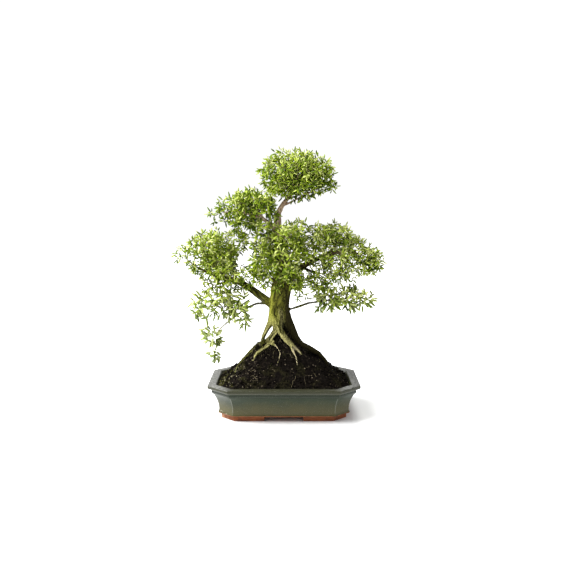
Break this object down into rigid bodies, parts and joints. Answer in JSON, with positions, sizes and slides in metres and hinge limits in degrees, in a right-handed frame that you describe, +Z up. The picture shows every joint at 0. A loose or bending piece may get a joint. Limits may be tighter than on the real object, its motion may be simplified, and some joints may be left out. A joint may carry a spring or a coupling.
{
  "type": "serissa bonsai in a tray pot",
  "caption": "Bonsai tree with a flared, root-clasped base on a heap of dark soil, airy pads of small leaves, and a low glazed rectangular tray with cut corners on short feet.",
  "frame": {"origin": "centre of the whole plant's bounding box in plan, on the surface that the tray's feet stand on; the tray's own centre is 17.0 mm from it along +X", "axes": "+Z up the tree, the tray's long side along X, the front seen in the picture faces -Y"},
  "size_m": [0.4376, 0.22, 0.5421],
  "materials": {
    "glazed_pot": "gloss",
    "drain_screen": "matte",
    "soil": "matte",
    "bark": "matte",
    "leaf": "satin"
  },
  "bodies": {
    "root": {"pot": "glazed_pot", "drain_screen_left": "drain_screen", "drain_screen_right": "drain_screen", "soil": "soil", "trunk_and_roots": "bark", "spray_crown_left": "leaf", "spray_crown_top": "leaf", "spray_crown_right": "leaf", "spray_crown_low": "leaf", "spray_crown_back": "leaf", "spray_crown_front": "leaf", "spray_crown_under": "leaf", "spray_crown_under_right": "leaf", "spray_upper_left_far": "leaf", "spray_upper_left_top": "leaf", "spray_upper_left_low": "leaf", "spray_upper_left_near": "leaf", "spray_upper_left_back": "leaf", "spray_upper_left_tail": "leaf", "spray_left_top": "leaf", "spray_left_inner": "leaf", "spray_left_mid": "leaf", "spray_left_far": "leaf", "spray_left_tip": "leaf", "spray_left_under": "leaf", "spray_left_back": "leaf", "spray_left_front": "leaf", "spray_centre_high": "leaf", "spray_centre_up": "leaf", "spray_centre_left": "leaf", "spray_centre_front": "leaf", "spray_centre_low": "leaf", "spray_centre_base": "leaf", "spray_centre_back": "leaf", "spray_centre_back_low": "leaf", "spray_right_rise": "leaf", "spray_right_top": "leaf", "spray_right_far": "leaf", "spray_right_mid": "leaf", "spray_right_inner": "leaf", "spray_right_tip": "leaf", "spray_right_low": "leaf", "spray_right_under": "leaf", "spray_right_back": "leaf", "spray_low_right_near": "leaf", "spray_low_right_mid": "leaf", "spray_low_right_far": "leaf", "spray_low_left_far": "leaf", "spray_low_left_mid": "leaf", "spray_low_left_near": "leaf", "spray_low_left_hang": "leaf", "spray_low_left_end": "leaf"}
  },
  "joints": []
}
